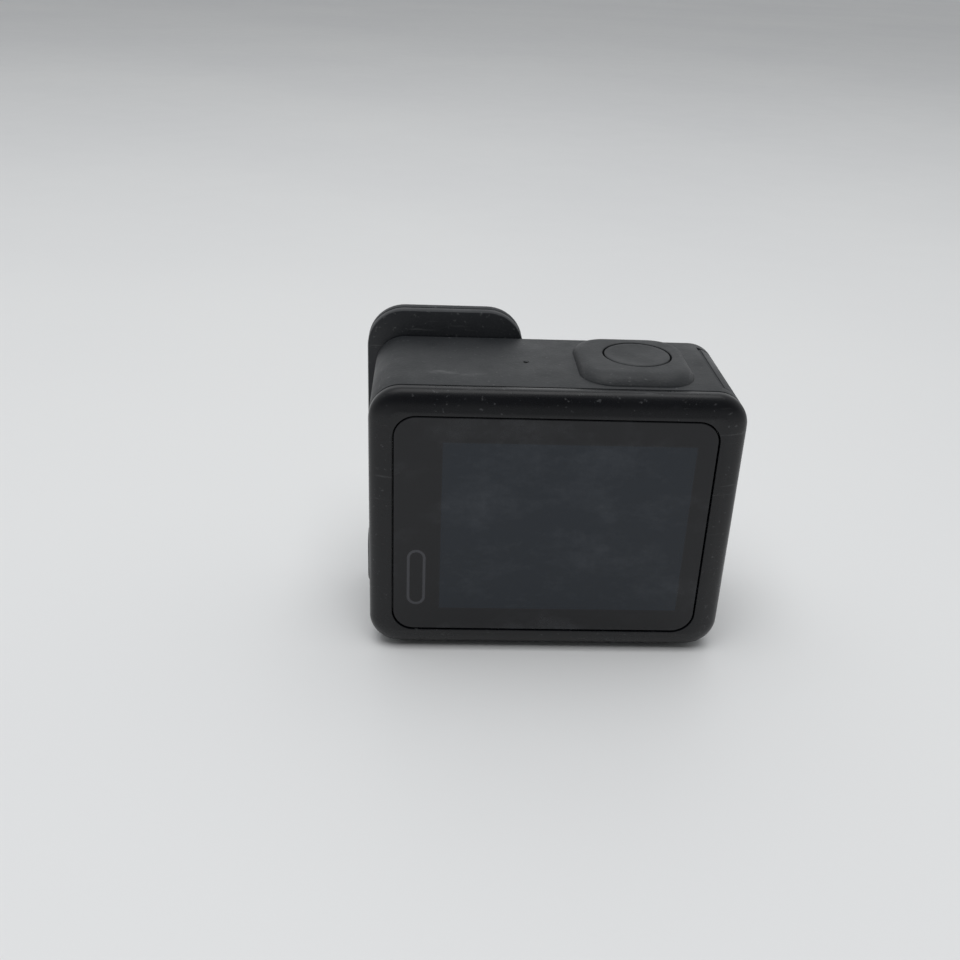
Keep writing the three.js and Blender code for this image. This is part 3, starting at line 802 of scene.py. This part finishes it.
def shutter_cap():
    """A cap with a rounded edge and a shallow dish, on its stem."""
    stem, under, edge, top = 2.2, 54.4, 0.3, button_hi[2]
    loops = [
        at_z(circle(BX, BY, stem), button_lo[2]),
        at_z(circle(BX, BY, stem), under),
        at_z(circle(BX, BY, B_RADIUS - 0.2), under),
        at_z(circle(BX, BY, B_RADIUS), 54.6),
    ]
    for t in quarter_turn(5):
        radius = B_RADIUS - edge * (1 - math.cos(t))
        loops.append(at_z(circle(BX, BY, radius), top - edge * (1 - math.sin(t))))
    for share, dip in ((0.88, 0.0), (0.82, 0.03), (0.7, 0.08), (0.5, 0.13), (0.3, 0.155), (0.1, 0.16)):
        loops.append(at_z(circle(BX, BY, B_RADIUS * share), top - dip))
    return loft("shutter_cap", loops)


finish_piece(shutter_cap(), "shutter", SHELL, ["shutter_button"], 40)


# ---------------------------------------------------------------- front face
def front_outline(grow):
    return around(-30.6 - grow, 2.4 + grow, 24.5 - grow, 51.2 + grow, 3.0 + grow)


FASCIA_BACK = -14.65
GROOVE_PITCH = 2.4


def groove(x, low, high, face, floor):
    """The cutter for one upright groove with a chamfered mouth, round at both ends."""
    mouth = around(x - 0.62, x + 0.62, low - 0.17, high + 0.17, 0.6, 6)
    return loft(
        "groove",
        [
            at_y(mouth, BEYOND_FRONT),
            at_y(mouth, face),
            at_y(around(x - 0.46, x + 0.46, low, high, 0.44, 6), face + 0.14),
            at_y(around(x - 0.45, x + 0.45, low, high, 0.43, 6), floor - 0.12),
            at_y(around(x - 0.33, x + 0.33, low + 0.12, high - 0.12, 0.31, 6), floor),
        ],
    )


def front_fascia():
    """The front plate: grooved all along its foot, and slotted right through over the loudspeaker."""
    back, face = FASCIA_BACK, Y_FRONT
    loops = [body_loop(2.3, back), body_loop(2.3, face + 0.2)]
    loops += [body_loop(2.36, face + 0.06), body_loop(2.5, face)]
    panel = loft("front_fascia", loops)
    hole = rod_y("hole", LX, LZ, TUBE_BORE, BEYOND_FRONT, -12, 96)
    seat = loft(
        "seat",
        [
            at_y(front_outline(0.45), BEYOND_FRONT),
            at_y(front_outline(0.45), face),
            at_y(front_outline(0.3), face + 0.15),
            at_y(front_outline(0.3), -12),
        ],
    )
    light = rod_y("light", LIGHT_X, LIGHT_Z, LIGHT_RADIUS, BEYOND_FRONT, -12, 32)
    grooves = []
    for i in range(-12, 13):
        x = i * GROOVE_PITCH
        if 13.5 < x < 24.5:
            grooves.append(groove(x, 8.6, 19.4, face, -14))
        else:
            grooves.append(groove(x, 6.8, 20.6, face, face + 0.4))
    return combine(panel, [hole, seat, light] + grooves)


finish_piece(front_fascia(), "camera", SATIN, ["front_panel"], 32)


finish_piece(
    slab_with_soft_face("front_cover_glass", front_outline, FASCIA_BACK, -15.35, 0.22, -1),
    "camera",
    FRONT_GLASS,
    ["front_glass"],
    40,
)


# ---------------------------------------------------------------- lens guard
def guard_loop(inset, y):
    side = GUARD - inset
    return at_y(around(LX - side, LX + side, LZ - side, LZ + side, 7.5 - inset), y)


def ring_loop(radius, y):
    return at_y(circle(LX, LZ, radius), y)


def lens_mount():
    rear, front = -15.75, -18.0
    loops = [guard_loop(0.45, rear), guard_loop(0.13, rear - 0.13), guard_loop(0, rear - 0.45)]
    loops += [guard_loop(0, front + 0.2), guard_loop(0.06, front + 0.06), guard_loop(0.2, front)]
    for radius, y in (
        (11.1, front),
        (11.0, front + 0.1),
        (11.0, -17.4),
        (12.1, -17.4),
        (12.1, -16.5),
        (9.0, -16.5),
        (9.0, rear),
    ):
        loops.append(ring_loop(radius, y))
    return loft("lens_mount_plate", loops, ring=True)


def lens_cover():
    rear, front, round_off = -18.3, -21.0, 1.3
    loops = [guard_loop(0.2, rear), guard_loop(0.06, rear - 0.06), guard_loop(0, rear - 0.2)]
    for t in quarter_turn(8):
        loops.append(guard_loop(round_off * (1 - math.cos(t)), front + round_off * (1 - math.sin(t))))
    for radius, y in (
        (12.35, front),
        (12.12, front + 0.06),
        (11.95, front + 0.2),
        (11.9, front + 0.4),
        (11.9, -19.55),
        (10.0, -19.55),
        (10.0, -16.7),
        (10.7, -16.7),
        (10.7, rear),
    ):
        loops.append(ring_loop(radius, y))
    return loft("lens_cover_frame", loops, ring=True)


finish_piece(lens_mount(), "camera", SATIN, ["lens_mount"], 40)
finish_piece(lens_cover(), "lens_cover", SATIN, ["lens_cover"], 40)


def lens_window():
    back, edge, face = -19.85, 11.6, -20.85
    front_edge = [(edge, -20.6), (11.55, -20.74), (11.42, -20.83), (11.25, face)]
    profile = [(0, back), (11.45, back), (edge, -20.0), *front_edge, (0, face)]
    return lathe_y("lens_window", profile, ring=False)


def window_mask():
    """The black ring printed behind the window's edge."""
    inner, outer, back, face = 9.3, 11.5, -19.6, -19.81
    return lathe_y("window_mask", [(inner, back), (outer, back), (outer, face), (inner, face)])


def lens_tube():
    """The barrel, with stepped light-trapping grooves inside its mouth."""
    rear, groove_foot, ridge, bore = -1.6, 7.72, 7.5, 6.6
    profile = [(8.6, rear), (8.6, -17.9), (8.5, -18.2), (8.25, -18.38), (7.95, -18.38), (7.8, -18.2)]
    y = -17.9
    for _ in range(5):
        profile += [(groove_foot, y), (groove_foot, y + 0.35), (ridge, y + 0.45), (ridge, y + 0.62)]
        y += 0.68
    profile += [(ridge, -14.5), (bore, -14.5), (bore, rear)]
    return lathe_y("lens_tube", profile)


def lens_dome():
    """The front element: a flat-backed lens whose face is part of a sphere."""
    rim, sphere, face_edge, steps = 7.3, 10.2, -15.75, 14
    sagitta = sphere - math.sqrt(sphere ** 2 - rim ** 2)
    profile = [(0, -14.85), (7.2, -14.85), (7.35, -15.0), (7.35, -15.6)]
    for step in range(steps + 1):
        radius = rim * (1 - step / steps)
        profile.append((radius, face_edge - sagitta + (sphere - math.sqrt(sphere ** 2 - radius ** 2))))
    return lathe_y("lens_dome", profile, ring=False)


finish_piece(lens_window(), "lens_cover", WINDOW, ["lens_cover_glass"], 50)
finish_piece(window_mask(), "lens_cover", PRINT)
finish_piece(lens_tube(), "camera", BAFFLE, ["lens_barrel"], 30)
finish_piece(lens_dome(), "camera", LENS, ["front_element"], 40)


# ---------------------------------------------------------------- mode button on the side
def mode_key():
    back, shoulder, edge, crown = 31.3, 34.7, 1.1, 0.7
    loops = [at_x(mode_outline(0), back), at_x(mode_outline(0), shoulder)]
    for t in quarter_turn(7, 1):
        loops.append(at_x(mode_outline(-edge * (1 - math.cos(t))), shoulder + crown * math.sin(t)))
    return loft("mode_key", loops)


finish_piece(mode_key(), "mode", SATIN, ["mode_button"], 40)


# ---------------------------------------------------------------- side door and latch
LATCH_MIDDLE = (latch_lo[1] + latch_hi[1]) / 2
LATCH_FOOT = 11.7
BEYOND_DOOR = -36  # where cutters start, clear of the door's outer face


def latch_seat(grow, below, corner):
    """The recess round the latch, with room below it for its travel."""
    return around(latch_lo[1] - grow, latch_hi[1] + grow, latch_lo[2] - below, latch_hi[2] + grow, corner)


def side_door():
    loops = [body_loop(0.22, DOOR_Y0), body_loop(0.06, DOOR_Y0 + 0.07), body_loop(0, DOOR_Y0 + 0.22)]
    loops += [body_loop(0, DOOR_Y1 - 0.22), body_loop(0.06, DOOR_Y1 - 0.07), body_loop(0.22, DOOR_Y1)]
    door = loft("side_door_panel", loops)
    combine(door, [door_region(DOOR_THICKNESS, 0, 0, "region")], "INTERSECT")
    seat = loft(
        "seat",
        [
            at_x(latch_seat(0.55, 2.6, 1.1), BEYOND_DOOR),
            at_x(latch_seat(0.55, 2.6, 1.1), X0 - 0.02),
            at_x(latch_seat(0.3, 2.3, 0.9), X0 + 0.25),
            at_x(latch_seat(0.3, 2.3, 0.9), -33.4),
        ],
    )
    slot = block("slot", BEYOND_DOOR, -30, LATCH_MIDDLE - 1.1, LATCH_MIDDLE + 1.1, 10.9, 15.8)
    bore = rod_y("bore", HINGE_X, HINGE_Z, PIN_BORE, -20, 20, 24)
    return combine(door, [seat, slot, bore])


def latch_outline(grow):
    low, high = LATCH_FOOT - grow, latch_hi[2] + grow
    return around(latch_lo[1] - grow, latch_hi[1] + grow, low, high, 0.8 + grow)


def latch_groove(z):
    """The cutter for one of the grooves across the thumb piece."""
    left, right = latch_lo[1], latch_hi[1]
    mouth = around(left + 0.8, right - 0.8, z - 0.38, z + 0.38, 0.36, 6)
    floor_outline = around(left + 1.0, right - 1.0, z - 0.2, z + 0.2, 0.19, 6)
    return loft("rib", [at_x(mouth, BEYOND_DOOR), at_x(mouth, -34.34), at_x(floor_outline, -34.1)])


def door_latch():
    """The thumb piece with its stem through the door and its foot behind it."""
    layers = ((0, -33.7), (0, -34.15), (-0.06, -34.29), (-0.2, -34.35))
    thumb = loft("door_latch_key", [at_x(latch_outline(grow), x) for grow, x in layers])
    groove_pitch, thumb_middle = 1.3, (LATCH_FOOT + latch_hi[2]) / 2
    combine(thumb, [latch_groove(thumb_middle + i * groove_pitch) for i in (-1, 0, 1)])
    stem = block("stem", -33.9, -31.7, LATCH_MIDDLE - 0.8, LATCH_MIDDLE + 0.8, 13.4, 15.4)
    foot = block("foot", -32, -31.5, LATCH_MIDDLE - 1.6, LATCH_MIDDLE + 1.6, 12.7, 15.4)
    return combine(thumb, [stem, foot], "UNION")


finish_piece(side_door(), "door", SATIN, ["side_door"], 32)
finish_piece(door_latch(), "latch", SHELL, ["door_latch"], 32)


# ---------------------------------------------------------------- folding fingers and their base
AXIS_X, AXIS_Z, HOLE_X, TIP = 3.05, 1.75, 11.4, 7.5
KNUCKLE_RADIUS = 1.5
FINGER_PIN_BORE = 0.9
SCREW_HOLE, HOLE_CHAMFER = 2.6, 0.35


def d_outline(side, near, radius, steps=28):
    """A finger seen from below: straight from the hinge, then a half circle round the screw hole."""
    points = [(side * near, -radius)]
    for k in range(steps + 1):
        angle = math.radians(-90 + 180 * k / steps)
        points.append((side * (HOLE_X + radius * math.cos(angle)), radius * math.sin(angle)))
    points.append((side * near, radius))
    return points


def finger(side, name):
    """A flat D-shaped blade with a knuckle round the pin at its straight end. side is -1 or 1."""
    low, high, edge = 0.25, 3.25, 0.35
    lower = [(low, edge), (low + 0.1, 0.12), (low + edge, 0)]
    upper = [(high - edge, 0), (high - 0.1, 0.12), (high, edge)]
    blade = loft(name, [at_z(d_outline(side, AXIS_X, TIP - inset), z) for z, inset in lower + upper])
    knuckle = rod_y("knuckle", side * AXIS_X, AXIS_Z, KNUCKLE_RADIUS, -TIP + 0.02, TIP - 0.02, 40)
    combine(blade, [knuckle], "UNION")
    mouth = circle(side * HOLE_X, 0, 2.95)
    throat = circle(side * HOLE_X, 0, SCREW_HOLE)
    hole = loft(
        "hole",
        [
            at_z(mouth, -1),
            at_z(mouth, low),
            at_z(throat, low + HOLE_CHAMFER),
            at_z(throat, high - HOLE_CHAMFER),
            at_z(mouth, high),
            at_z(mouth, 5),
        ],
    )
    bore = rod_y("bore", side * AXIS_X, AXIS_Z, FINGER_PIN_BORE, -20, 20, 24)
    return combine(blade, [hole, bore])


def finger_base():
    """The plate under the body, with a chamfered opening for each finger."""
    half_x, half_y, corner = 20.6, 10.5, 1.4
    loops = []
    for z, inset in ((0, 0.35), (0.1, 0.12), (0.35, 0), (3.3, 0)):
        x, y = half_x - inset, half_y - inset
        loops.append(at_z(around(-x, x, -y, y, corner - inset), z))
    plate = loft("finger_base_plate", loops)
    openings = []
    for side in (-1, 1):
        inner = AXIS_X - KNUCKLE_RADIUS - 0.35
        openings.append(
            loft(
                "opening",
                [
                    at_z(d_outline(side, inner, TIP + 0.5), -1),
                    at_z(d_outline(side, inner, TIP + 0.5), 0),
                    at_z(d_outline(side, inner, TIP + 0.3), 0.22),
                    at_z(d_outline(side, inner, TIP + 0.3), 5),
                ],
            )
        )
        openings.append(rod_y("bore", side * AXIS_X, AXIS_Z, FINGER_PIN_BORE, -10.2, 10.2, 24))
    return combine(plate, openings)


finish_piece(finger_base(), "camera", SATIN, ["finger_base"], 32)
finish_piece(finger(-1, "finger_blade_left"), "finger_l", SATIN, ["finger_left"], 32)
finish_piece(finger(1, "finger_blade_right"), "finger_r", SATIN, ["finger_right"], 32)

# ---------------------------------------------------------------- floor, light, world
def plain(name, low, high, rough):
    """A matt surface with a slow drift of tone."""
    n = Nodes(name)
    n.set(
        Base_Color=n.mix(n.span(n.noise(3.0, 2), 0, 1), low, high),
        Roughness=n.span(n.noise(40, 3), rough - 0.05, rough + 0.05),
    )
    return n.material


FAR = 4000
floor_corners = [(-FAR, -FAR, 0), (FAR, -FAR, 0), (FAR, FAR, 0), (-FAR, FAR, 0)]
floor = mesh_object("floor", floor_corners, [(0, 1, 2, 3)])
floor.data.materials.append(plain("floor", rgb(221, 222, 223), rgb(226, 227, 227), 0.5))


def area_light(name, at, size, power):
    """A rectangular lamp aimed at the origin. Places and sizes in metres, power in watts."""
    data = bpy.data.lights.new(name, "AREA")
    data.shape = "RECTANGLE"
    data.size, data.size_y = size
    data.energy = power
    lamp = bpy.data.objects.new(name, data)
    bpy.context.scene.collection.objects.link(lamp)
    lamp.location = at
    lamp.rotation_euler = (-Vector(at)).to_track_quat("-Z", "Y").to_euler()
    return lamp


fill = area_light("fill", (0.06, 0.3, 1.1), (0.9, 0.7), 6.8)
fill.visible_glossy = False
area_light("overhead", (0.06, -0.15, 1.15), (1.2, 0.6), 2.6)


def soft_room():
    """A pale room, but for the middle heights on the side the rear display faces, where it is dark."""
    world = bpy.data.worlds.new("room")
    bpy.context.scene.world = world
    world.use_nodes = True
    tree = world.node_tree
    tree.nodes.clear()
    output = tree.nodes.new("ShaderNodeOutputWorld")
    background = tree.nodes.new("ShaderNodeBackground")
    tree.links.new(background.outputs[0], output.inputs["Surface"])
    where = tree.nodes.new("ShaderNodeTexCoord")
    parts = tree.nodes.new("ShaderNodeSeparateXYZ")
    tree.links.new(where.outputs["Generated"], parts.inputs[0])

    def span(value, from_low, from_high, low, high):
        node = tree.nodes.new("ShaderNodeMapRange")
        node.inputs["From Min"].default_value = from_low
        node.inputs["From Max"].default_value = from_high
        node.inputs["To Min"].default_value = low
        node.inputs["To Max"].default_value = high
        tree.links.new(value, node.inputs["Value"])
        return node.outputs[0]

    def product(a, b):
        node = tree.nodes.new("ShaderNodeMath")
        node.operation = "MULTIPLY"
        tree.links.new(a, node.inputs[0])
        tree.links.new(b, node.inputs[1])
        return node.outputs[0]

    toward = span(parts.outputs["Y"], -0.1, 0.5, 0.0, 1.0)
    above_horizon = span(parts.outputs["Z"], 0.1, 0.3, 0.0, 1.0)
    below_zenith = span(parts.outputs["Z"], 0.86, 0.97, 1.0, 0.0)
    dark = product(product(toward, above_horizon), below_zenith)
    pale = span(parts.outputs["Y"], -0.9, 0.2, 0.66, 0.44)
    background.inputs["Color"].default_value = (0.97, 0.985, 1.0, 1.0)
    tree.links.new(product(pale, span(dark, 0.0, 1.0, 1.0, 0.3)), background.inputs["Strength"])


soft_room()
